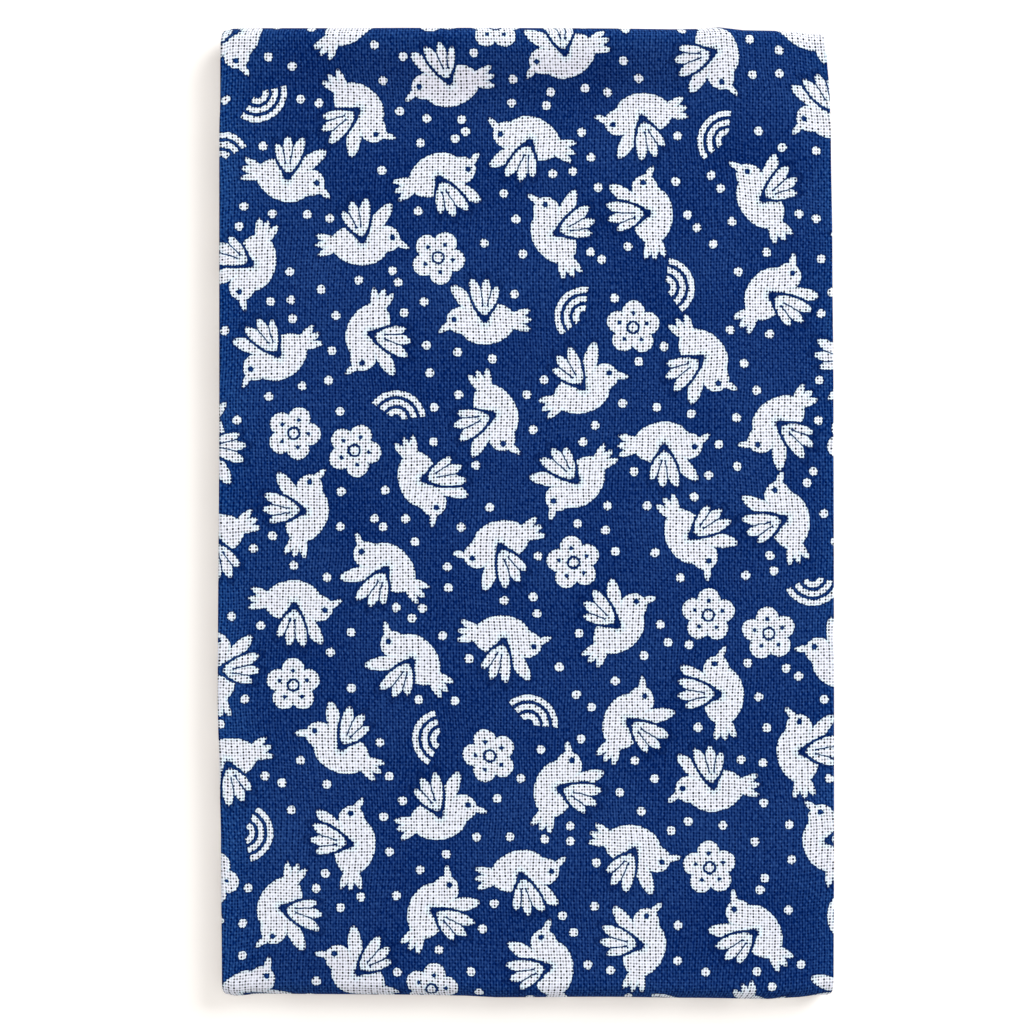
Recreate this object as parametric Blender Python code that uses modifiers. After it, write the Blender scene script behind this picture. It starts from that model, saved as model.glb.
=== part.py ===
"""A tenugui hand towel, folded flat: one length of thin cotton, with nothing sewn to it.

The cloth is folded in three across its width, which makes a strip of three plies, and the strip is
folded to and fro along its length into five panels. Each panel turns round the ones before it, so
both ends of the top panel are folds, and the last cut end lies underneath.
+Y runs along the folded towel, +X across it, and it lies on its flat underside at z = 0.
"""

from collections import namedtuple
from math import cos, pi, sin

import bmesh
import bpy

# The cloth as it is cut, and the number of times that it lies on itself
CLOTH_WIDTH = 0.340
CLOTH_LENGTH = 0.900
PLIES_ACROSS = 3
PANELS_ALONG = 5

# The strip of three plies, and the air between one panel and the next
STRIP_THICKNESS = 0.00105
PANEL_GAP = 0.00035
LEVEL_STEP = STRIP_THICKNESS + PANEL_GAP

# The folded towel before its edges wander
HALF_WIDTH = CLOTH_WIDTH / PLIES_ACROSS / 2
HALF_LENGTH = CLOTH_LENGTH / PANELS_ALONG / 2
TOP_LEVEL = PANELS_ALONG - 1

# Both ends of the strip, as directions along Y
FAR_END = 1
NEAR_END = -1

# The panels in the order of folding. level counts the panels below it, and left and right are how
# far its long edges lie inside those of the top panel.
Panel = namedtuple("Panel", "level left right")
PANELS = (
    Panel(level=2, left=0.0009, right=0.0003),
    Panel(level=3, left=0.0004, right=0.0005),
    Panel(level=1, left=0.0006, right=0.0001),
    Panel(level=4, left=0.0, right=0.0),
    Panel(level=0, left=0.0002, right=0.0006),
)

# The folds that join each panel to the next. reach is how far the loop stands past its centre line,
# and wraps counts the folds that lie round it at that end.
Fold = namedtuple("Fold", "end reach wraps")
FOLDS = (
    Fold(end=FAR_END, reach=0.0007, wraps=1),
    Fold(end=NEAR_END, reach=0.0012, wraps=1),
    Fold(end=FAR_END, reach=0.0017, wraps=0),
    Fold(end=NEAR_END, reach=0.0023, wraps=0),
)

# How far short of a fold's centre line the two cut ends stop
INNER_END_SHORT = 0.0003
OUTER_END_SHORT = 0.0035

# How far the long edges swell past the plain width, and draw in at the corners
Side = namedtuple("Side", "y left right")
SIDES = (
    Side(y=-0.0900, left=-0.0009, right=-0.0008),
    Side(y=-0.0882, left=-0.0003, right=0.0001),
    Side(y=-0.0600, left=-0.0003, right=0.0002),
    Side(y=-0.0500, left=-0.0001, right=0.0005),
    Side(y=-0.0350, left=0.0004, right=0.0005),
    Side(y=0.0220, left=0.0003, right=0.0003),
    Side(y=0.0480, left=0.0003, right=0.0001),
    Side(y=0.0700, left=0.0002, right=-0.0001),
    Side(y=0.0770, left=-0.0005, right=-0.0006),
    Side(y=0.0840, left=0.0, right=-0.0011),
    Side(y=0.0883, left=-0.0001, right=-0.0014),
    Side(y=0.0900, left=-0.0008, right=-0.0028),
)

# How far the folded ends swell past the plain length
End = namedtuple("End", "x near far")
ENDS = (
    End(x=-0.0565, near=-0.0011, far=-0.0006),
    End(x=-0.0545, near=-0.0005, far=-0.0002),
    End(x=-0.0100, near=-0.0005, far=-0.0001),
    End(x=0.0150, near=-0.0001, far=-0.0002),
    End(x=0.0320, near=0.0001, far=-0.0003),
    End(x=0.0370, near=0.0002, far=0.0001),
    End(x=0.0430, near=0.0002, far=-0.0005),
    End(x=0.0500, near=-0.0007, far=-0.0006),
    End(x=0.0550, near=-0.0010, far=-0.0012),
)

# The lower panels' long edges wander from the top one's by this much, over this length
SWAY = 0.00025
SWAY_LENGTH = 0.11
SWAY_STEP = 0.37

# The stack stands a little higher at its folds, and waves a little, as shares of its height
END_PUFF = 0.045
SIDE_PUFF = 0.02
PUFF_POWER = 4
Wave = namedtuple("Wave", "share across along start")
WAVES = (
    Wave(share=0.010, across=0.21, along=0.13, start=0.4),
    Wave(share=0.008, across=-0.09, along=0.17, start=1.9),
)

# The strip's long edges are folds of the cloth, so its thickness rounds off there
Rim = namedtuple("Rim", "inset thickness")
RIMS = (
    Rim(inset=0.0, thickness=0.35),
    Rim(inset=0.00022, thickness=0.76),
    Rim(inset=0.0006, thickness=1.0),
)

# Spacing of the grid of faces
SPANS_ACROSS = 9
SPANS_ALONG_PANEL = 13
SPANS_ROUND_FOLD = 9

INDIGO = (0.010, 0.037, 0.150, 1.0)
COTTON_ROUGHNESS = 0.92

# A row of points across the strip: its level, its share of the way from one place along Y to the
# next, the loop's reach past that, and the insets of its two long edges
Row = namedtuple("Row", "level start stop share loop left right")


def clear_scene():
    for old in list(bpy.data.objects):
        bpy.data.objects.remove(old, do_unlink=True)


def ease(share):
    return (1 - cos(pi * share)) / 2


def mix(first, second, share):
    return first + (second - first) * share


def read_table(rows, place_column, value_column, place):
    """The value at a place between two rows, eased so that the edge bends softly."""
    if place <= getattr(rows[0], place_column):
        return getattr(rows[0], value_column)
    for low, high in zip(rows, rows[1:]):
        start, stop = getattr(low, place_column), getattr(high, place_column)
        if place <= stop:
            share = ease((place - start) / (stop - start))
            return mix(getattr(low, value_column), getattr(high, value_column), share)
    return getattr(rows[-1], value_column)


def end_line(end, x):
    """Y of the folded towel's end at this place across it."""
    swell = read_table(ENDS, "x", "far" if end == FAR_END else "near", x)
    return end * (HALF_LENGTH + swell)


def fold_centre(fold, x):
    inside = STRIP_THICKNESS / 2 + fold.wraps * LEVEL_STEP + fold.reach
    return end_line(fold.end, x) - fold.end * inside


def sway(level, y):
    depth = (TOP_LEVEL - level) / TOP_LEVEL
    return SWAY * depth * sin(2 * pi * (y / SWAY_LENGTH + level * SWAY_STEP))


def long_edges(row, y):
    """X of the strip's left and right edge at this place along it."""
    wander = sway(row.level, y)
    left = HALF_WIDTH + read_table(SIDES, "y", "left", y) - row.left - wander
    right = HALF_WIDTH + read_table(SIDES, "y", "right", y) - row.right + wander
    return -left, right


def lift(x, y):
    """How much higher than plain the stack stands here."""
    puff = END_PUFF * abs(y / HALF_LENGTH) ** PUFF_POWER + SIDE_PUFF * abs(x / HALF_WIDTH) ** PUFF_POWER
    waves = sum(w.share * sin(2 * pi * (x / w.across + y / w.along) + w.start) for w in WAVES)
    return 1 + puff + waves


def strip_rows():
    """The rows of the whole strip, from the cut end inside to the one underneath."""
    rows = []
    for number, panel in enumerate(PANELS):
        before = FOLDS[number - 1] if number > 0 else None
        after = FOLDS[number] if number < len(FOLDS) else None
        first = 1 if before else 0
        last = SPANS_ALONG_PANEL - 1 if after else SPANS_ALONG_PANEL
        for step in range(first, last + 1):
            share = ease(step / SPANS_ALONG_PANEL)
            rows.append(Row(panel.level, before, after, share, 0.0, panel.left, panel.right))
        if after:
            rows += fold_rows(panel, PANELS[number + 1], after)
    return rows


def fold_rows(panel, following, fold):
    """Half a turn of the strip, from one panel's level to the next one's."""
    middle = (panel.level + following.level) / 2
    half_height = (following.level - panel.level) / 2
    rows = []
    for step in range(SPANS_ROUND_FOLD + 1):
        share = step / SPANS_ROUND_FOLD
        turn = pi * share
        rows.append(
            Row(
                level=middle - half_height * cos(turn),
                start=fold,
                stop=fold,
                share=0.0,
                loop=fold.end * fold.reach * sin(turn),
                left=mix(panel.left, following.left, share),
                right=mix(panel.right, following.right, share),
            )
        )
    return rows


def row_y(row, x):
    """Y of a row at this place across the strip. A cut end stops short of a fold's centre line."""
    if row.start:
        start = fold_centre(row.start, x)
    else:
        start = fold_centre(row.stop._replace(end=-row.stop.end), x) + row.stop.end * INNER_END_SHORT
    if row.stop:
        stop = fold_centre(row.stop, x)
    else:
        stop = fold_centre(row.start._replace(end=-row.start.end), x) + row.start.end * OUTER_END_SHORT
    return mix(start, stop, row.share) + row.loop


def across_places():
    """Each column as its inset from the left edge, its share of the middle, and its thickness."""
    rim_insets = [rim.inset for rim in RIMS]
    middle = [ease(step / SPANS_ACROSS) for step in range(1, SPANS_ACROSS)]
    columns = [(inset, 0.0, rim.thickness) for inset, rim in zip(rim_insets, RIMS)]
    columns += [(RIMS[-1].inset * (1 - 2 * share), share, 1.0) for share in middle]
    columns += [(-inset, 1.0, rim.thickness) for inset, rim in zip(rim_insets[::-1], RIMS[::-1])]
    return columns


def place_point(row, column):
    inset, share, _ = column
    y = row_y(row, mix(-HALF_WIDTH, HALF_WIDTH, share))
    left, right = long_edges(row, y)
    x = mix(left, right, share) + inset
    z = STRIP_THICKNESS / 2 + row.level * LEVEL_STEP * lift(x, y)
    return x, y, z


def centre_on_origin(mesh):
    """Moves the sheet so that the middle of its outline is over the origin."""
    for axis in (0, 1):
        places = [vertex.co[axis] for vertex in mesh.vertices]
        middle = (min(places) + max(places)) / 2
        for vertex in mesh.vertices:
            vertex.co[axis] -= middle


def make_material():
    material = bpy.data.materials.new("indigo_dyed_cotton")
    material.use_nodes = True
    shader = material.node_tree.nodes["Principled BSDF"]
    shader.inputs["Base Color"].default_value = INDIGO
    shader.inputs["Roughness"].default_value = COTTON_ROUGHNESS
    shader.inputs["Metallic"].default_value = 0.0
    return material


def make_folded_cloth(collection):
    """A flat grid, each of whose points is carried to its place in the folded strip."""
    rows = strip_rows()
    columns = across_places()
    mesh = bpy.data.meshes.new("folded_cloth")
    grid = bmesh.new()
    bmesh.ops.create_grid(grid, x_segments=len(columns) - 1, y_segments=len(rows) - 1, size=0.5)
    thickness = []
    for point in grid.verts:
        column = columns[round((point.co.x + 0.5) * (len(columns) - 1))]
        row = rows[round((point.co.y + 0.5) * (len(rows) - 1))]
        point.co = place_point(row, column)
        thickness.append(column[2])
    grid.to_mesh(mesh)
    grid.free()
    centre_on_origin(mesh)
    mesh.polygons.foreach_set("use_smooth", [True] * len(mesh.polygons))

    cloth = bpy.data.objects.new("folded_cloth", mesh)
    collection.objects.link(cloth)
    mesh.materials.append(make_material())
    body = cloth.vertex_groups.new(name="body")
    for index, share in enumerate(thickness):
        body.add([index], share, "REPLACE")

    plies = cloth.modifiers.new("three_plies", "SOLIDIFY")
    plies.thickness = STRIP_THICKNESS
    plies.offset = 0.0
    plies.use_even_offset = True
    plies.vertex_group = body.name
    return cloth


def main():
    clear_scene()
    collection = bpy.data.collections.new("tenugui_towel")
    bpy.context.scene.collection.children.link(collection)
    make_folded_cloth(collection)


main()
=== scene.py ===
import math
import random

import bpy
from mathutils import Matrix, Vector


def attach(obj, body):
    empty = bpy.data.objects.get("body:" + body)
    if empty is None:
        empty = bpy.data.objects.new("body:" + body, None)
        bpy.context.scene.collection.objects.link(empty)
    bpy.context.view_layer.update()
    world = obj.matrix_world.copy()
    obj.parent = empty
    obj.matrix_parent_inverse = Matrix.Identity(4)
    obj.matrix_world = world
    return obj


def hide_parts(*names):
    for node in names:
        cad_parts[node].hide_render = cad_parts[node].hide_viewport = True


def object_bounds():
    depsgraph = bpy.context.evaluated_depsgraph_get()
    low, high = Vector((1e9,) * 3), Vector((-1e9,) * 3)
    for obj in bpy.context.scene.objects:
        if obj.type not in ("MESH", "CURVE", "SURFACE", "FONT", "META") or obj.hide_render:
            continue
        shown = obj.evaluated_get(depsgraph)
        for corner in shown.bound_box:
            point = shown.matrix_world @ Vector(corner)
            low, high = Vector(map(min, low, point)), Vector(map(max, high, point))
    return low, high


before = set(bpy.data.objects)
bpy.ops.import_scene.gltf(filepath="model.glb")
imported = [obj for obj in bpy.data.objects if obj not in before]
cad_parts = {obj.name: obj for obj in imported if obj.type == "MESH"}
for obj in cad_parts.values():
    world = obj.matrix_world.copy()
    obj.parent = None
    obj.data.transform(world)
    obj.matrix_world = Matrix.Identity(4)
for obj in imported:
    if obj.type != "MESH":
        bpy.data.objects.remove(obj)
cadLow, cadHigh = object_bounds()
print("frame loaded:", ", ".join(sorted(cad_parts)))


# The towel: one sheet, folded in three across and then to and fro along its length
towel = {
    "cutWidth": 0.340,
    "cutLength": 0.900,
    "pliesAcross": 3,
    "panelsAlong": 5,
    "plyThickness": 0.00028,
    "plyStep": 0.00034,
    "stripThickness": 0.00105,
    "levelStep": 0.0014,
    "innerEndShort": 0.0003,
    "outerEndShort": 0.0035,
    "innerSelvedgeShort": 0.0016,
    "middleSelvedgeShort": 0.0024,
    "sway": 0.00025,
    "swayLength": 0.11,
    "swayStep": 0.37,
    "endPuff": 0.045,
    "sidePuff": 0.02,
    "puffPower": 4,
    "spansAcrossPly": 30,
    "spansRoundSideFold": 6,
    "spansAlongPanel": 58,
    "spansRoundFold": 16,
}

# Panels in the order of folding. left and right are insets from the top panel's long edges.
panels = [
    {"level": 2, "left": 0.0009, "right": 0.0003},
    {"level": 3, "left": 0.0004, "right": 0.0005},
    {"level": 1, "left": 0.0006, "right": 0.0001},
    {"level": 4, "left": 0.0, "right": 0.0},
    {"level": 0, "left": 0.0002, "right": 0.0006},
]

farEnd = 1
nearEnd = -1

# reach is how far the loop stands past its centre line, wraps how many folds lie round it
folds = [
    {"end": farEnd, "reach": 0.0007, "wraps": 1},
    {"end": nearEnd, "reach": 0.0012, "wraps": 1},
    {"end": farEnd, "reach": 0.0017, "wraps": 0},
    {"end": nearEnd, "reach": 0.0023, "wraps": 0},
]

# How far the long edges swell, and draw in at the corners
sides = [
    {"y": -0.0900, "left": -0.0009, "right": -0.0008},
    {"y": -0.0882, "left": -0.0003, "right": 0.0001},
    {"y": -0.0600, "left": -0.0001, "right": 0.0002},
    {"y": -0.0500, "left": 0.0001, "right": 0.0002},
    {"y": -0.0350, "left": 0.0005, "right": 0.0002},
    {"y": 0.0220, "left": 0.0002, "right": 0.0001},
    {"y": 0.0480, "left": 0.0002, "right": -0.0001},
    {"y": 0.0700, "left": 0.0002, "right": -0.0004},
    {"y": 0.0770, "left": 0.0, "right": -0.0006},
    {"y": 0.0840, "left": 0.0, "right": -0.0011},
    {"y": 0.0883, "left": -0.0001, "right": -0.0014},
    {"y": 0.0900, "left": -0.0008, "right": -0.0028},
]

# How far the near folded end swells, and the far one
nearSwell = [
    {"x": -0.0565, "swell": -0.0005},
    {"x": -0.0552, "swell": -0.0002},
    {"x": -0.0505, "swell": -0.0006},
    {"x": -0.0390, "swell": -0.0005},
    {"x": -0.0230, "swell": -0.0004},
    {"x": -0.0100, "swell": -0.0002},
    {"x": -0.0055, "swell": 0.0001},
    {"x": 0.0150, "swell": 0.0},
    {"x": 0.0320, "swell": 0.0002},
    {"x": 0.0470, "swell": 0.0004},
    {"x": 0.0505, "swell": 0.0001},
    {"x": 0.0560, "swell": -0.0004},
]
farSwell = [
    {"x": -0.0565, "swell": -0.0005},
    {"x": -0.0550, "swell": -0.0001},
    {"x": -0.0100, "swell": 0.0},
    {"x": 0.0150, "swell": -0.0001},
    {"x": 0.0320, "swell": -0.0003},
    {"x": 0.0370, "swell": 0.0001},
    {"x": 0.0430, "swell": -0.0005},
    {"x": 0.0500, "swell": -0.0006},
    {"x": 0.0550, "swell": -0.0012},
]

# Slow waves of the whole stack, as shares of its height
stackWaves = [
    {"share": 0.010, "across": 0.21, "along": 0.13, "start": 0.4},
    {"share": 0.008, "across": -0.09, "along": 0.17, "start": 1.9},
]

# Fine softness of the cloth, in metres, most on the top panel
clothWaves = [
    {"height": 0.000050, "across": 0.047, "along": 0.061, "start": 0.3},
    {"height": 0.000040, "across": -0.029, "along": 0.038, "start": 1.1},
    {"height": 0.000030, "across": 0.018, "along": -0.052, "start": 2.6},
]

# Soft creases of the top panel: middle, half length, half width, turn from the X axis in degrees,
# bend, and depth, which is below nought for a ridge. The lower panels take a share of them.
creases = [
    {"x": -0.0250, "y": 0.0795, "long": 0.026, "wide": 0.0044, "turn": 2, "bow": 0.0010, "depth": 0.00034},
    {"x": 0.0190, "y": 0.0790, "long": 0.017, "wide": 0.0038, "turn": -3, "bow": -0.0008, "depth": 0.00028},
    {"x": 0.0020, "y": 0.0865, "long": 0.052, "wide": 0.0022, "turn": 0, "bow": 0.0, "depth": -0.00008},
    {"x": 0.0120, "y": -0.0490, "long": 0.011, "wide": 0.0034, "turn": 78, "bow": 0.0012, "depth": 0.00014},
    {"x": -0.0290, "y": -0.0740, "long": 0.014, "wide": 0.0020, "turn": 96, "bow": 0.0006, "depth": -0.00009},
    {"x": -0.0410, "y": -0.0855, "long": 0.017, "wide": 0.0026, "turn": 4, "bow": 0.0, "depth": 0.00014},
]

halfWidth = towel["cutWidth"] / towel["pliesAcross"] / 2
halfLength = towel["cutLength"] / towel["panelsAlong"] / 2
topLevel = towel["panelsAlong"] - 1


def ease(share):
    return (1 - math.cos(math.pi * share)) / 2


def mix(first, second, share):
    return first + (second - first) * share


def readTable(rows, placeColumn, valueColumn, place):
    if place <= rows[0][placeColumn]:
        return rows[0][valueColumn]
    for low, high in zip(rows, rows[1:]):
        if place <= high[placeColumn]:
            share = (place - low[placeColumn]) / (high[placeColumn] - low[placeColumn])
            return mix(low[valueColumn], high[valueColumn], ease(share))
    return rows[-1][valueColumn]


def endLine(end, x):
    swell = readTable(farSwell if end == farEnd else nearSwell, "x", "swell", x)
    return end * (halfLength + swell)


def foldCentre(end, fold, x):
    inside = towel["stripThickness"] / 2 + fold["wraps"] * towel["levelStep"] + fold["reach"]
    return endLine(end, x) - end * inside


def longEdges(row, y):
    depth = (topLevel - row["level"]) / topLevel
    turn = 2 * math.pi * (y / towel["swayLength"] + row["level"] * towel["swayStep"])
    wander = towel["sway"] * depth * math.sin(turn)
    left = halfWidth + readTable(sides, "y", "left", y) - row["left"] - wander
    right = halfWidth + readTable(sides, "y", "right", y) - row["right"] + wander
    return -left, right


def waveSum(waves, size, x, y):
    return sum(
        w[size] * math.sin(2 * math.pi * (x / w["across"] + y / w["along"]) + w["start"])
        for w in waves
    )


def creaseDepth(x, y):
    total = 0.0
    for crease in creases:
        turn = math.radians(crease["turn"])
        dx, dy = x - crease["x"], y - crease["y"]
        along = (dx * math.cos(turn) + dy * math.sin(turn)) / crease["long"]
        across = dy * math.cos(turn) - dx * math.sin(turn) - crease["bow"] * along * along
        total += crease["depth"] * math.exp(-(along ** 4) - (across / crease["wide"]) ** 2)
    return total


def stackLift(x, y):
    puff = towel["endPuff"] * abs(y / halfLength) ** towel["puffPower"]
    puff += towel["sidePuff"] * abs(x / halfWidth) ** towel["puffPower"]
    return 1 + puff + waveSum(stackWaves, "share", x, y)


def stripRows():
    rows = []
    spans = towel["spansAlongPanel"]
    for number, panel in enumerate(panels):
        before = folds[number - 1] if number > 0 else None
        after = folds[number] if number < len(folds) else None
        first = 1 if before else 0
        last = spans - 1 if after else spans
        for step in range(first, last + 1):
            rows.append({**panel, "start": before, "stop": after, "share": ease(step / spans), "loop": 0.0})
        if after:
            rows += foldRows(panel, panels[number + 1], after)
    return rows


def foldRows(panel, following, fold):
    rows = []
    for step in range(towel["spansRoundFold"] + 1):
        share = step / towel["spansRoundFold"]
        turn = math.pi * share
        middle = (panel["level"] + following["level"]) / 2
        halfHeight = (following["level"] - panel["level"]) / 2
        rows.append({
            "level": middle - halfHeight * math.cos(turn),
            "left": mix(panel["left"], following["left"], share),
            "right": mix(panel["right"], following["right"], share),
            "start": fold,
            "stop": fold,
            "share": 0.0,
            "loop": fold["end"] * fold["reach"] * math.sin(turn),
        })
    return rows


def rowY(row, x):
    start, stop = row["start"], row["stop"]
    if start:
        fromY = foldCentre(start["end"], start, x)
    else:
        fromY = foldCentre(-stop["end"], stop, x) + stop["end"] * towel["innerEndShort"]
    if stop:
        toY = foldCentre(stop["end"], stop, x)
    else:
        toY = foldCentre(-start["end"], start, x) + start["end"] * towel["outerEndShort"]
    return mix(fromY, toY, row["share"]) + row["loop"]


# Each column across the cloth: its share of the strip's width, its inset, and how far out its ply lies
def clothColumns():
    step = towel["plyStep"]
    half = towel["plyThickness"] / 2
    leftRadius = step
    rightRadius = step / 2
    spans = towel["spansAcrossPly"]
    leftInset = half + leftRadius
    rightInset = -(half + rightRadius)
    columns = []

    def addPly(fromShare, fromInset, toInset, offset):
        for number in range(spans + 1):
            along = ease(number / spans)
            share = mix(fromShare, 1 - fromShare, along)
            columns.append({"share": share, "inset": mix(fromInset, toInset, along), "offset": offset})

    def addSideFold(share, inset, radius, fromOffset, outward):
        for number in range(1, towel["spansRoundSideFold"]):
            turn = math.pi * number / towel["spansRoundSideFold"]
            way = 1 if fromOffset < 0 else -1
            columns.append({
                "share": share,
                "inset": inset + outward * radius * math.sin(turn),
                "offset": fromOffset + way * radius * (1 - math.cos(turn)),
            })

    addPly(1, -towel["innerSelvedgeShort"], leftInset, -step)
    addSideFold(0, leftInset, leftRadius, -step, -1)
    addPly(0, leftInset, rightInset, step)
    addSideFold(1, rightInset, rightRadius, step, 1)
    addPly(1, rightInset, towel["middleSelvedgeShort"], 0.0)
    return columns


def clothPoints(rows, columns):
    grid = []
    for column in columns:
        nominal = mix(-halfWidth, halfWidth, column["share"])
        line = []
        for row in rows:
            y = rowY(row, nominal)
            left, right = longEdges(row, y)
            x = mix(left, right, column["share"]) + column["inset"]
            softness = waveSum(clothWaves, "height", x, y) - creaseDepth(x, y)
            z = towel["stripThickness"] / 2 + row["level"] * towel["levelStep"] * stackLift(x, y)
            z += softness * row["level"] / topLevel
            line.append((x, y, z))
        grid.append(offsetLine(line, column["offset"]))
    return grid


# Moves a line of points out of the strip's face, square to its run in Y and Z
def offsetLine(line, offset):
    moved = []
    for number, (x, y, z) in enumerate(line):
        before = line[max(number - 1, 0)]
        after = line[min(number + 1, len(line) - 1)]
        runY, runZ = after[1] - before[1], after[2] - before[2]
        length = math.hypot(runY, runZ)
        moved.append((x, y + offset * runZ / length, z - offset * runY / length))
    return moved


def runningLengths(line, total):
    lengths = [0.0]
    for first, second in zip(line, line[1:]):
        lengths.append(lengths[-1] + math.dist(first, second))
    return [length * total / lengths[-1] for length in lengths]


def makeTowel():
    rows, columns = stripRows(), clothColumns()
    grid = clothPoints(rows, columns)
    topPanelRow = len(rows) * 7 // 10
    across = runningLengths([line[topPanelRow] for line in grid], towel["cutWidth"])
    along = runningLengths(grid[len(columns) // 2], towel["cutLength"])

    points = [point for line in grid for point in line]
    for axis in (0, 1):
        places = [point[axis] for point in points]
        middle = (min(places) + max(places)) / 2
        shift = [-middle if number == axis else 0.0 for number in range(3)]
        points = [tuple(value + move for value, move in zip(point, shift)) for point in points]

    count = len(rows)
    faces = []
    for c in range(len(columns) - 1):
        for r in range(count - 1):
            corner = c * count + r
            faces.append((corner, corner + count, corner + count + 1, corner + 1))
    mesh = bpy.data.meshes.new("towel_cloth")
    mesh.from_pydata(points, [], faces)
    layer = mesh.uv_layers.new(name="clothPlace")
    for loop in mesh.loops:
        c, r = divmod(loop.vertex_index, count)
        layer.data[loop.index].uv = (across[c], along[r])
    mesh.polygons.foreach_set("use_smooth", [True] * len(mesh.polygons))

    cloth = bpy.data.objects.new("towel_cloth", mesh)
    bpy.context.scene.collection.objects.link(cloth)
    bpy.ops.object.select_all(action="DESELECT")
    cloth.select_set(True)
    bpy.context.view_layer.objects.active = cloth
    ply = cloth.modifiers.new("ply", "SOLIDIFY")
    ply.thickness = towel["plyThickness"]
    ply.offset = 0.0
    ply.use_even_offset = True
    bpy.ops.object.modifier_apply(modifier=ply.name)
    print("towel cloth:", len(cloth.data.polygons), "faces")
    return cloth


# Small helpers for shader nodes: a value may be a number, a tuple or another node's output
def plug(tree, socket, value):
    if isinstance(value, bpy.types.NodeSocket):
        tree.links.new(value, socket)
    else:
        socket.default_value = value


def calc(tree, operation, *values, clamp=False):
    node = tree.nodes.new("ShaderNodeMath")
    node.operation = operation
    node.use_clamp = clamp
    for socket, value in zip(node.inputs, values):
        plug(tree, socket, value)
    return node.outputs[0]


def vector(tree, operation, *values):
    node = tree.nodes.new("ShaderNodeVectorMath")
    node.operation = operation
    for socket, value in zip(node.inputs, values):
        plug(tree, socket, value)
    return node.outputs["Value" if operation in ("LENGTH", "DISTANCE", "DOT_PRODUCT") else "Vector"]


def scaled(tree, source, factor):
    node = tree.nodes.new("ShaderNodeVectorMath")
    node.operation = "SCALE"
    plug(tree, node.inputs[0], source)
    plug(tree, node.inputs["Scale"], factor)
    return node.outputs["Vector"]


def pickVector(tree, factor, first, second):
    node = tree.nodes.new("ShaderNodeMix")
    node.data_type = "VECTOR"
    plug(tree, node.inputs[0], factor)
    plug(tree, node.inputs[4], first)
    plug(tree, node.inputs[5], second)
    return node.outputs[1]


def pickNumber(tree, factor, first, second):
    node = tree.nodes.new("ShaderNodeMix")
    node.data_type = "FLOAT"
    plug(tree, node.inputs[0], factor)
    plug(tree, node.inputs[2], first)
    plug(tree, node.inputs[3], second)
    return node.outputs[0]


def pickColour(tree, factor, first, second, blend="MIX"):
    node = tree.nodes.new("ShaderNodeMix")
    node.data_type = "RGBA"
    node.blend_type = blend
    plug(tree, node.inputs[0], factor)
    plug(tree, node.inputs[6], first)
    plug(tree, node.inputs[7], second)
    return node.outputs[2]


def ramp(tree, value, fromLow, fromHigh, toLow, toHigh):
    node = tree.nodes.new("ShaderNodeMapRange")
    node.interpolation_type = "SMOOTHSTEP"
    plug(tree, node.inputs["Value"], value)
    plug(tree, node.inputs["From Min"], fromLow)
    plug(tree, node.inputs["From Max"], fromHigh)
    plug(tree, node.inputs["To Min"], toLow)
    plug(tree, node.inputs["To Max"], toHigh)
    return node.outputs["Result"]


def noise(tree, source, scale, detail=2.0, colour=False):
    node = tree.nodes.new("ShaderNodeTexNoise")
    node.noise_dimensions = "2D"
    plug(tree, node.inputs["Vector"], source)
    plug(tree, node.inputs["Scale"], scale)
    plug(tree, node.inputs["Detail"], detail)
    return node.outputs["Color" if colour else "Fac"]


# The print: plovers, plum blossoms and fans of arcs, turned all ways, with small dots between.
# Sizes are millimetres on the flat cloth, and the repeat lies at a slant to the threads.
toss = {
    "tile": (57.0, 62.0),
    "slant": 24,
    "birds": 9,
    "smalls": 4,
    "birdRoom": 8.9,
    "smallRoom": 5.7,
    "rounds": 600,
    "push": 0.2,
    "seed": 4,
    "blossomShare": 0.55,
    "dotPitch": 6.4,
    "dotScatter": 0.6,
    "dotRadius": 0.8,
    "dotGap": 0.6,
    "teeth": 0.3,
    "gapTeeth": 0.16,
    "edge": 0.06,
}


# Motifs are pushed apart until none crowds another, across the repeat's own edges too
def motifPlaces():
    draw = random.Random(toss["seed"])
    width, length = toss["tile"]
    places = []
    for number in range(toss["birds"] + toss["smalls"]):
        isBird = number < toss["birds"]
        places.append({
            "isBird": isBird,
            "room": toss["birdRoom"] if isBird else toss["smallRoom"],
            "x": draw.uniform(0, width),
            "y": draw.uniform(0, length),
        })
    pairs = [(a, b) for a in places for b in places if a is not b]
    worst = 0
    for _ in range(toss["rounds"]):
        worst = 0
        for first, second in pairs:
            dx = (second["x"] - first["x"] + width / 2) % width - width / 2
            dy = (second["y"] - first["y"] + length / 2) % length - length / 2
            apart = math.hypot(dx, dy)
            crowding = first["room"] + second["room"] - apart
            worst = max(worst, crowding)
            if crowding > 0:
                push = toss["push"] * crowding / apart
                second["x"] += dx * push
                second["y"] += dy * push
                first["x"] -= dx * push
                first["y"] -= dy * push
    print("print laid out, crowding at most", round(worst, 2), "mm")
    return places


# The vector to here from a motif's middle, the nearest one of all the repeats
def fromMotif(tree, place, motif):
    halfTile = (toss["tile"][0] / 2, toss["tile"][1] / 2, 1.0)
    lowTile = (-halfTile[0], -halfTile[1], -1.0)
    middle = (round(motif["x"] * 2) / 2, round(motif["y"] * 2) / 2, 0.0)
    return vector(tree, "WRAP", vector(tree, "SUBTRACT", place, middle), halfTile, lowTile)


def nearestMotif(tree, place, motifs):
    nearest, distance = None, None
    for motif in motifs:
        away = fromMotif(tree, place, motif)
        length = vector(tree, "LENGTH", away)
        if nearest is None:
            nearest, distance = away, length
        else:
            nearest = pickVector(tree, calc(tree, "LESS_THAN", length, distance), nearest, away)
            distance = calc(tree, "MINIMUM", length, distance)
    return nearest


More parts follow.
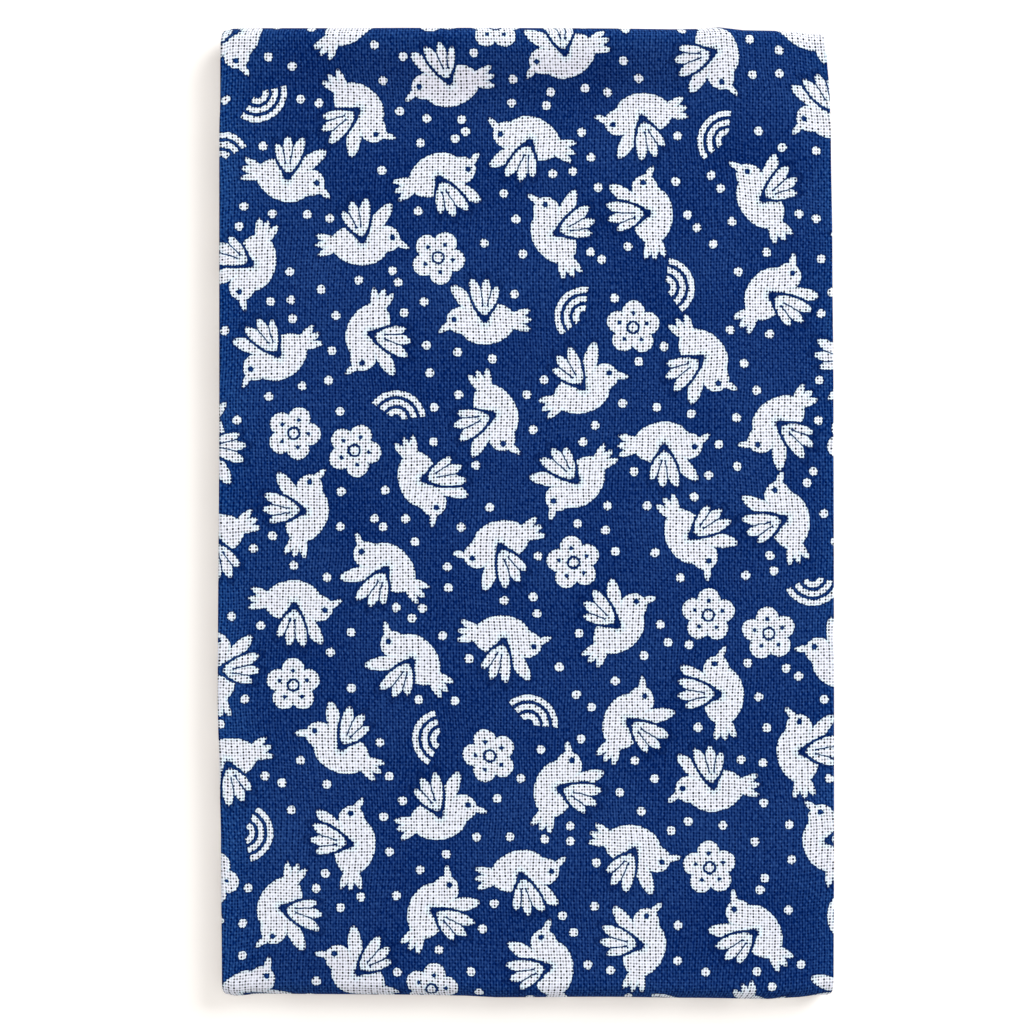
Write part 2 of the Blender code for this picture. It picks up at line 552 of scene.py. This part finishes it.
# Three chance numbers for the motif whose middle is nearest
def motifChance(tree, place, away):
    middle = vector(tree, "SUBTRACT", place, away)
    whole = vector(tree, "FLOOR", vector(tree, "MULTIPLY_ADD", middle, (2.0, 2.0, 0.0), (0.5, 0.5, 0.0)))
    dice = tree.nodes.new("ShaderNodeTexWhiteNoise")
    dice.noise_dimensions = "2D"
    plug(tree, dice.inputs["Vector"], whole)
    split = tree.nodes.new("ShaderNodeSeparateColor")
    plug(tree, split.inputs[0], dice.outputs["Color"])
    return split.outputs[0], split.outputs[1], split.outputs[2]


def turned(tree, away, turn, centre=(0.0, 0.0, 0.0)):
    rotate = tree.nodes.new("ShaderNodeVectorRotate")
    rotate.rotation_type = "Z_AXIS"
    plug(tree, rotate.inputs["Center"], centre)
    plug(tree, rotate.inputs["Vector"], away)
    plug(tree, rotate.inputs["Angle"], turn)
    return rotate.outputs[0]


def parted(tree, source):
    split = tree.nodes.new("ShaderNodeSeparateXYZ")
    plug(tree, split.inputs[0], source)
    return split.outputs["X"], split.outputs["Y"]


def joined(tree, x, y):
    join = tree.nodes.new("ShaderNodeCombineXYZ")
    plug(tree, join.inputs["X"], x)
    plug(tree, join.inputs["Y"], y)
    return join.outputs[0]


def oval(tree, place, part):
    node = tree.nodes.new("ShaderNodeMapping")
    node.vector_type = "TEXTURE"
    plug(tree, node.inputs["Vector"], place)
    plug(tree, node.inputs["Location"], (part["x"], part["y"], 0.0))
    plug(tree, node.inputs["Rotation"], (0.0, 0.0, math.radians(part["turn"])))
    plug(tree, node.inputs["Scale"], (part["long"], part["short"], 1.0))
    length = vector(tree, "LENGTH", node.outputs[0])
    return calc(tree, "MULTIPLY_ADD", length, part["short"], -part["short"])


bird = {
    "parts": {
        "body": {"x": -0.4, "y": -1.0, "long": 5.2, "short": 3.7, "turn": 14, "blend": 0.0},
        "head": {"x": 3.9, "y": 2.0, "long": 2.5, "short": 2.35, "turn": 0, "blend": 0.9},
        "beak": {"x": 6.5, "y": 2.1, "long": 1.8, "short": 0.6, "turn": -8, "blend": 0.3},
        "tailTop": {"x": -5.9, "y": -2.1, "long": 2.5, "short": 0.75, "turn": 4, "blend": 0.4},
        "tailMiddle": {"x": -5.6, "y": -2.9, "long": 2.5, "short": 0.75, "turn": 25, "blend": 0.2},
        "tailLow": {"x": -5.0, "y": -3.7, "long": 2.5, "short": 0.75, "turn": 46, "blend": 0.2},
        "farWing": {"x": 1.2, "y": 4.5, "long": 3.9, "short": 1.3, "turn": 74, "blend": 0.2},
    },
    "feathers": [
        {"x": -1.1, "y": 4.3, "long": 4.2, "short": 1.35, "turn": 98},
        {"x": -2.4, "y": 3.6, "long": 4.1, "short": 1.3, "turn": 121},
        {"x": -3.1, "y": 2.6, "long": 3.4, "short": 1.15, "turn": 144},
    ],
    "shoulder": (-0.4, 0.6, 0.0),
    "flap": 20,
    "line": 0.27,
    "featherLine": 0.24,
    "featherBase": 1.9,
    "eye": (4.8, 2.6, 0.0),
    "eyeRadius": 0.56,
    "dots": [(7.1, -3.1, 0.0), (1.9, -7.1, 0.0), (-7.4, 1.6, 0.0)],
    "dotRadius": 0.8,
}


def birdShape(tree, place, chance):
    shape = None
    for part in bird["parts"].values():
        edge = oval(tree, place, part)
        shape = edge if shape is None else calc(tree, "SMOOTH_MIN", shape, edge, part["blend"])

    flap = calc(tree, "MULTIPLY_ADD", chance, math.radians(bird["flap"]), math.radians(-bird["flap"] / 2))
    raised = turned(tree, place, flap, bird["shoulder"])
    first, second, third = (oval(tree, raised, feather) for feather in bird["feathers"])
    wing = calc(tree, "MINIMUM", calc(tree, "MINIMUM", first, second), third)
    shape = calc(tree, "MINIMUM", shape, wing)

    lines = calc(tree, "SUBTRACT", calc(tree, "ABSOLUTE", wing), bird["line"])
    base = calc(tree, "SUBTRACT", bird["featherBase"], vector(tree, "DISTANCE", place, bird["shoulder"]))
    for one, other in ((first, second), (second, third)):
        between = calc(tree, "ABSOLUTE", calc(tree, "SUBTRACT", one, other))
        both = calc(tree, "MAXIMUM", calc(tree, "MAXIMUM", one, other), base)
        between = calc(tree, "MAXIMUM", calc(tree, "SUBTRACT", between, bird["featherLine"]), both)
        lines = calc(tree, "MINIMUM", lines, between)
    eye = calc(tree, "SUBTRACT", vector(tree, "DISTANCE", place, bird["eye"]), bird["eyeRadius"])
    lines = calc(tree, "MINIMUM", lines, eye)
    shape = calc(tree, "MAXIMUM", shape, calc(tree, "MULTIPLY", lines, -1.0))

    dots = None
    for dot in bird["dots"]:
        length = vector(tree, "DISTANCE", place, dot)
        dots = length if dots is None else calc(tree, "MINIMUM", dots, length)
    return calc(tree, "MINIMUM", shape, calc(tree, "SUBTRACT", dots, bird["dotRadius"]))


blossom = {
    "petals": 5,
    "petalPlace": 2.95,
    "petalRadius": 2.05,
    "coreRadius": 2.35,
    "ringRadius": 1.05,
    "ringWidth": 0.24,
    "stamenPlace": 2.7,
    "stamenRadius": 0.4,
}


def blossomShape(tree, place):
    x, y = parted(tree, place)
    angle = calc(tree, "ARCTAN2", y, x)
    halfPetal = math.pi / blossom["petals"]
    folded = calc(tree, "WRAP", angle, halfPetal, -halfPetal)
    radius = vector(tree, "LENGTH", place)
    across = calc(tree, "MULTIPLY", radius, calc(tree, "SINE", folded))
    out = calc(tree, "MULTIPLY", radius, calc(tree, "COSINE", folded))
    inPetal = joined(tree, out, across)
    petal = vector(tree, "DISTANCE", inPetal, (blossom["petalPlace"], 0.0, 0.0))
    petal = calc(tree, "SUBTRACT", petal, blossom["petalRadius"])
    core = calc(tree, "SUBTRACT", radius, blossom["coreRadius"])
    shape = calc(tree, "MINIMUM", petal, core)
    ring = calc(tree, "ABSOLUTE", calc(tree, "SUBTRACT", radius, blossom["ringRadius"]))
    ring = calc(tree, "SUBTRACT", blossom["ringWidth"], ring)
    stamen = vector(tree, "DISTANCE", inPetal, (blossom["stamenPlace"], 0.0, 0.0))
    stamen = calc(tree, "SUBTRACT", blossom["stamenRadius"], stamen)
    return calc(tree, "MAXIMUM", shape, calc(tree, "MAXIMUM", ring, stamen))


fan = {"drop": 2.5, "firstArc": 1.6, "arcStep": 1.7, "arcWidth": 0.5, "reach": 5.6, "spread": 68}


def fanShape(tree, place):
    lowered = vector(tree, "ADD", place, (0.0, fan["drop"], 0.0))
    x, y = parted(tree, lowered)
    radius = vector(tree, "LENGTH", lowered)
    halfStep = fan["arcStep"] / 2
    fromArc = calc(tree, "WRAP", calc(tree, "SUBTRACT", radius, fan["firstArc"]), halfStep, -halfStep)
    arcs = calc(tree, "SUBTRACT", calc(tree, "ABSOLUTE", fromArc), fan["arcWidth"])
    angle = calc(tree, "ABSOLUTE", calc(tree, "ARCTAN2", x, y))
    past = calc(tree, "MULTIPLY", calc(tree, "SUBTRACT", angle, math.radians(fan["spread"])), radius)
    outside = calc(tree, "MAXIMUM", past, calc(tree, "SUBTRACT", radius, fan["reach"]))
    outside = calc(tree, "MAXIMUM", outside, calc(tree, "SUBTRACT", fan["firstArc"] - halfStep, radius))
    return calc(tree, "MAXIMUM", arcs, outside)


# More dots stand where there is room for them between the motifs
def dotShape(tree, place, motifs):
    cells = tree.nodes.new("ShaderNodeTexVoronoi")
    cells.voronoi_dimensions = "2D"
    cells.feature = "F1"
    plug(tree, cells.inputs["Vector"], place)
    plug(tree, cells.inputs["Scale"], 1 / toss["dotPitch"])
    plug(tree, cells.inputs["Randomness"], toss["dotScatter"])
    middle = vector(tree, "MULTIPLY", cells.outputs["Position"], (1.0, 1.0, 0.0))
    room = None
    for motif in motifs:
        length = vector(tree, "LENGTH", fromMotif(tree, middle, motif))
        left = calc(tree, "SUBTRACT", length, motif["room"])
        room = left if room is None else calc(tree, "MINIMUM", room, left)
    shown = calc(tree, "GREATER_THAN", room, toss["dotGap"])
    # a dot that isn't shown has a radius below nought
    radius = calc(tree, "MULTIPLY_ADD", shown, toss["dotRadius"] + 1.0, -1.0)
    return calc(tree, "SUBTRACT", vector(tree, "DISTANCE", place, middle), radius)


def printShape(tree, flat):
    place = turned(tree, flat, math.radians(toss["slant"]))
    motifs = motifPlaces()
    birdAway = nearestMotif(tree, place, [m for m in motifs if m["isBird"]])
    smallAway = nearestMotif(tree, place, [m for m in motifs if not m["isBird"]])
    birdSpin, birdSide, flap = motifChance(tree, place, birdAway)
    smallSpin, smallKind, _ = motifChance(tree, place, smallAway)
    birdPlace = turned(tree, birdAway, calc(tree, "MULTIPLY", birdSpin, 2 * math.pi))
    # about half of the birds, by chance, are drawn the other way round
    mirrored = calc(tree, "MULTIPLY_ADD", calc(tree, "GREATER_THAN", birdSide, 0.5), -2.0, 1.0)
    birdX, birdY = parted(tree, birdPlace)
    birdPlace = joined(tree, birdX, calc(tree, "MULTIPLY", birdY, mirrored))
    smallPlace = turned(tree, smallAway, calc(tree, "MULTIPLY", smallSpin, 2 * math.pi))
    isFan = calc(tree, "GREATER_THAN", smallKind, toss["blossomShare"])
    small = pickNumber(tree, isFan, blossomShape(tree, smallPlace), fanShape(tree, smallPlace))
    large = calc(tree, "MINIMUM", birdShape(tree, birdPlace, flap), small)
    return calc(tree, "MINIMUM", large, dotShape(tree, place, motifs))


# Plain weave, in millimetres, with the colours of its dye
weave = {
    "warpPitch": 0.531,
    "weftPitch": 0.588,
    "holeFrom": 0.31,
    "holeFull": 0.49,
    "oddHole": 0.53,
    "closedHole": 0.23,
    "indigoDeep": (0.0, 0.0124, 0.097, 1.0),
    "indigoPale": (0.0290, 0.0870, 0.280, 1.0),
    "white": (0.846, 0.865, 0.955, 1.0),
    # shade is the bare cotton's grey, for its streaks and for the painted shade between threads
    "shade": (0.782, 0.817, 0.950, 1.0),
    "bleed": (0.76, 0.90, 1.0, 1.0),
    "foldPale": (1.30, 1.60, 1.40, 1.0),
    # colour of the painted shade in the creases, multiplied in
    "paintedCreaseColour": (0.80, 0.77, 0.79, 1.0),
    # painted shade seen through the holes; the indigo one also colours the dye pooled at the print's rim
    "holeShade": (0.022, 0.024, 0.031, 1.0),
    "indigoRimAndHoleShade": (0.0, 0.0060, 0.055, 1.0),
    "grainScale": 1.1,
    "grainLow": 0.28,
    "grainHigh": 0.62,
    "holeLeast": 0.58,
    "holeMost": 1.5,
    "streakStretch": (2.0, 1.3, 0.0),
    "cloudScale": 0.05,
    "rimFrom": 0.06,
    "rimTo": 0.32,
    "rimAmount": 0.8,
    "bleedFrom": -0.45,
    "bleedTo": -0.02,
    "roughness": 0.9,
    "specular": 0.0,
    "sheen": 0.02,
    "sheenRoughness": 0.5,
    "bumpStrength": 0.24,
    "bumpDistance": 0.00008,  # metres
}

# How far each of these turns the indigo pale, and the bare cotton grey.
# Their warp and weft shares paint shade between the threads.
dyeShares = {"level": -0.27, "streaks": 1.1, "cloudy": 0.4, "warp": -0.28, "weft": -0.08, "over": -0.19}
bareShares = {"level": -0.18, "streaks": 0.5, "warp": 0.15, "weft": 0.1}

# Threads wander a little from straight, in millimetres
threadWaves = [
    {"warp": 0.30, "weft": 0.22, "across": 97.0, "along": 61.0, "start": 0.4},
    {"warp": 0.16, "weft": -0.14, "across": -43.0, "along": 27.0, "start": 2.1},
    {"warp": 0.07, "weft": 0.08, "across": 19.0, "along": -11.0, "start": 4.0},
]

# The indigo is paler near the folded edges. Places are millimetres across or along the flat cloth,
# and fade is what is left of the paleness at each millimetre from the fold.
foldPale = {
    "left": {"axis": 0, "place": 113.1, "amount": 1.0, "fade": 0.80},
    "right": {"axis": 0, "place": 227.8, "amount": 0.6, "fade": 0.72},
    "far": {"axis": 1, "place": 540.8, "amount": 0.5, "fade": 0.66},
    "near": {"axis": 1, "place": 720.6, "amount": 0.3, "fade": 0.66},
}

# Painted shade along the creases, on top of the shade their slopes cast; millimetres on the flat cloth
creaseFade = 3.0
paintedCreaseRows = [
    {"x": 146.0, "y": 550.0, "long": 28.0, "short": 6.5, "turn": 2, "amount": 0.45},
    {"x": 161.0, "y": 550.0, "long": 15.0, "short": 6.0, "turn": 0, "amount": 0.45},
    {"x": 186.0, "y": 549.5, "long": 19.0, "short": 5.5, "turn": -3, "amount": 0.8},
    {"x": 131.0, "y": 717.0, "long": 18.0, "short": 3.5, "turn": 4, "amount": 0.4},
]


def threadPlaces(tree, flat):
    shifted = flat
    for wave in threadWaves:
        slope = (2 * math.pi / wave["across"], 2 * math.pi / wave["along"], 0.0)
        turn = calc(tree, "ADD", vector(tree, "DOT_PRODUCT", flat, slope), wave["start"])
        sway = scaled(tree, (wave["warp"], wave["weft"], 0.0), calc(tree, "SINE", turn))
        shifted = vector(tree, "ADD", shifted, sway)
    return shifted


def foldPaleShare(tree, flat):
    places = parted(tree, flat)
    total = 0.0
    for fold in foldPale.values():
        away = calc(tree, "ABSOLUTE", calc(tree, "SUBTRACT", places[fold["axis"]], fold["place"]))
        total = calc(tree, "MULTIPLY_ADD", calc(tree, "POWER", fold["fade"], away), fold["amount"], total)
    return total


# How much painted crease shade falls at each place
def paintedCreaseShare(tree, flat):
    total = 0.0
    for shade in paintedCreaseRows:
        away = oval(tree, flat, shade)
        amount = ramp(tree, away, -shade["short"], creaseFade, shade["amount"], 0.0)
        total = calc(tree, "ADD", amount, total)
    return total


# The threads' turns, as angles whose cosines peak midway between two threads
def threadTurns(tree, threads):
    x, y = parted(tree, threads)
    warp = calc(tree, "DIVIDE", x, weave["warpPitch"] / math.pi)
    weft = calc(tree, "DIVIDE", y, weave["weftPitch"] / math.pi)
    return warp, weft


# Holes stand between the threads, wide ones between every second pair, and no two are alike.
# Their darkness is painted shade: the shadowed cloth below, seen through the gaps.
def holeShare(tree, cosWarp, cosWeft, gap, grain):
    holeShade = ramp(tree, gap, weave["holeFrom"], weave["holeFull"], 0.0, 1.0)
    evenWarp = calc(tree, "MULTIPLY_ADD", cosWarp, 0.5, 0.5)
    evenWeft = calc(tree, "MULTIPLY_ADD", cosWeft, 0.5, 0.5)
    closed = weave["closedHole"]
    strongRow = calc(tree, "MULTIPLY_ADD", evenWarp, 1 - closed, closed)
    strength = pickNumber(tree, evenWeft, weave["oddHole"], strongRow)
    split = tree.nodes.new("ShaderNodeSeparateColor")
    plug(tree, split.inputs[0], grain)
    lows, highs = (weave["grainLow"], weave["grainHigh"]), (weave["holeLeast"], weave["holeMost"])
    uneven = ramp(tree, split.outputs[2], *lows, *highs)
    return calc(tree, "MULTIPLY", calc(tree, "MULTIPLY", holeShade, strength), uneven, clamp=True)


# Indigo ground: threads took more or less of the dye, and lie over and under each other,
# with painted shade between them
def dyedGround(tree, flat, over, threadGapShade, streaks, shape, holeShade):
    cloudy = noise(tree, flat, weave["cloudScale"], 2.0)
    dye = calc(tree, "MULTIPLY_ADD", streaks, dyeShares["streaks"], dyeShares["level"])
    dye = calc(tree, "MULTIPLY_ADD", cloudy, dyeShares["cloudy"], dye)
    dye = calc(tree, "MULTIPLY_ADD", threadGapShade[0], dyeShares["warp"], dye)
    dye = calc(tree, "MULTIPLY_ADD", threadGapShade[1], dyeShares["weft"], dye)
    dye = calc(tree, "MULTIPLY_ADD", over, dyeShares["over"], dye, clamp=True)
    ground = pickColour(tree, dye, weave["indigoDeep"], weave["indigoPale"])
    ground = pickColour(tree, foldPaleShare(tree, flat), ground, weave["foldPale"], "MULTIPLY")
    rim = ramp(tree, shape, weave["rimFrom"], weave["rimTo"], weave["rimAmount"], 0.0)
    # the dye pools dark against the print's edge
    ground = pickColour(tree, rim, ground, weave["indigoRimAndHoleShade"])
    # painted shade in the holes
    return pickColour(tree, holeShade, ground, weave["indigoRimAndHoleShade"])


# Bare cotton of the print, greyer with painted shade between the threads,
# and a little blue where the dye crept in at its edges
def bareCotton(tree, threadGapShade, streaks, shape, holeShade):
    grey = calc(tree, "MULTIPLY_ADD", threadGapShade[0], bareShares["warp"], bareShares["level"])
    grey = calc(tree, "MULTIPLY_ADD", threadGapShade[1], bareShares["weft"], grey)
    grey = calc(tree, "MULTIPLY_ADD", streaks, bareShares["streaks"], grey, clamp=True)
    bare = pickColour(tree, grey, weave["white"], weave["shade"])
    bleed = ramp(tree, shape, weave["bleedFrom"], weave["bleedTo"], 0.0, 1.0)
    bare = pickColour(tree, bleed, bare, weave["bleed"])
    # painted shade in the holes
    return pickColour(tree, holeShade, bare, weave["holeShade"])


def clothMaterial():
    material = bpy.data.materials.new("printed_cotton")
    material.use_nodes = True
    tree = material.node_tree
    shader = tree.nodes["Principled BSDF"]
    shader.inputs["Roughness"].default_value = weave["roughness"]
    shader.inputs["Specular IOR Level"].default_value = weave["specular"]
    shader.inputs["Sheen Weight"].default_value = weave["sheen"]
    shader.inputs["Sheen Roughness"].default_value = weave["sheenRoughness"]

    uv = tree.nodes.new("ShaderNodeUVMap")
    uv.uv_map = "clothPlace"
    flat = scaled(tree, uv.outputs[0], 1000.0)  # metres to millimetres
    threads = threadPlaces(tree, flat)
    warp, weft = threadTurns(tree, threads)
    cosWarp, cosWeft = calc(tree, "COSINE", warp), calc(tree, "COSINE", weft)
    # painted shade, deepest midway between two threads
    threadGapShade = calc(tree, "MULTIPLY", cosWarp, cosWarp), calc(tree, "MULTIPLY", cosWeft, cosWeft)
    over = calc(tree, "MULTIPLY", calc(tree, "SINE", warp), calc(tree, "SINE", weft))
    gap = calc(tree, "ABSOLUTE", calc(tree, "MULTIPLY", cosWarp, cosWeft))
    grain = noise(tree, threads, weave["grainScale"], 1.0, True)
    streaks = noise(tree, vector(tree, "MULTIPLY", threads, weave["streakStretch"]), 1.0, 1.0)
    holeShade = holeShare(tree, cosWarp, cosWeft, gap, grain)

    # the dye creeps along the threads, so the print's edges have small teeth
    teeth = vector(tree, "MULTIPLY_ADD", grain, (toss["teeth"], toss["teeth"], 0.0), flat)
    shape = calc(tree, "MULTIPLY_ADD", gap, toss["gapTeeth"], printShape(tree, teeth))
    shape = calc(tree, "SUBTRACT", shape, toss["gapTeeth"] / 3)
    printed = ramp(tree, shape, -toss["edge"], toss["edge"], 1.0, 0.0)

    ground = dyedGround(tree, flat, over, threadGapShade, streaks, shape, holeShade)
    bare = bareCotton(tree, threadGapShade, streaks, shape, holeShade)
    colour = pickColour(tree, printed, ground, bare)
    # painted shade in the creases darkens both the indigo and the bare cotton
    colour = pickColour(tree, paintedCreaseShare(tree, flat), colour, weave["paintedCreaseColour"], "MULTIPLY")
    plug(tree, shader.inputs["Base Color"], colour)

    bump = tree.nodes.new("ShaderNodeBump")
    bump.inputs["Strength"].default_value = weave["bumpStrength"]
    bump.inputs["Distance"].default_value = weave["bumpDistance"]
    plug(tree, bump.inputs["Height"], calc(tree, "SUBTRACT", 1.0, gap))
    plug(tree, shader.inputs["Normal"], bump.outputs[0])
    return material


# Floor, light and camera: seen from straight above, lit softly from the upper right
studio = {
    "pixel": 0.0001858,
    "framePixels": 1024,
    "centrePixel": (525.8, 513.4),
    "lens": 120.0,
    "sensor": 36.0,
    "floorSize": 6.0,
    "floorColour": (0.80, 0.80, 0.80, 1.0),
    "floorRoughness": 0.9,
    "floorGlow": (0.33, 0.285, 0.235, 1.0),
    "keyPlace": (0.98, 0.90, 0.96),
    "keySize": 1.1,
    "keyPower": 24.85,
    "topPlace": (0.0, 0.0, 2.0),
    "topSize": 2.0,
    "topPower": 14.55,
    "worldStrength": 0.42,
}


# The floor glows a little, as a light table does, so that only the towel's shadow shows on it
def makeFloor():
    bpy.ops.mesh.primitive_plane_add(size=studio["floorSize"])
    floor = bpy.context.active_object
    floor.name = "floor"
    material = bpy.data.materials.new("pale_floor")
    material.use_nodes = True
    shader = material.node_tree.nodes["Principled BSDF"]
    shader.inputs["Base Color"].default_value = studio["floorColour"]
    shader.inputs["Roughness"].default_value = studio["floorRoughness"]
    shader.inputs["Specular IOR Level"].default_value = 0.0
    shader.inputs["Emission Color"].default_value = studio["floorGlow"]
    shader.inputs["Emission Strength"].default_value = 1.0
    floor.data.materials.append(material)


def makeLight(name, place, size, power):
    data = bpy.data.lights.new(name, "AREA")
    data.shape = "DISK"
    data.size = size
    data.energy = power
    light = bpy.data.objects.new(name, data)
    light.location = place
    light.rotation_mode = "QUATERNION"
    light.rotation_quaternion = light.location.to_track_quat("Z", "Y")
    bpy.context.scene.collection.objects.link(light)


def makeWorld():
    world = bpy.data.worlds.new("studio")
    world.use_nodes = True
    background = world.node_tree.nodes["Background"]
    background.inputs["Color"].default_value = (1.0, 1.0, 1.0, 1.0)
    background.inputs["Strength"].default_value = studio["worldStrength"]
    bpy.context.scene.world = world
    bpy.context.scene.view_settings.view_transform = "Standard"


def makeCamera(outlineHeight):
    frameWidth = studio["pixel"] * studio["framePixels"]
    data = bpy.data.cameras.new("camera")
    data.lens = studio["lens"]
    data.sensor_width = studio["sensor"]
    camera = bpy.data.objects.new("camera", data)
    middle = studio["framePixels"] / 2
    camera.location = (
        (middle - studio["centrePixel"][0]) * studio["pixel"],
        (studio["centrePixel"][1] - middle) * studio["pixel"],
        outlineHeight + frameWidth * studio["lens"] / studio["sensor"],
    )
    bpy.context.scene.collection.objects.link(camera)
    bpy.context.scene.camera = camera


cloth = makeTowel()
cloth.data.materials.append(clothMaterial())
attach(cloth, "root")
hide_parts("folded_cloth")
print("cloth finished")

makeFloor()
makeLight("key", studio["keyPlace"], studio["keySize"], studio["keyPower"])
makeLight("top", studio["topPlace"], studio["topSize"], studio["topPower"])
makeWorld()
makeCamera((cadLow.z + cadHigh.z) / 2)
print("studio finished")
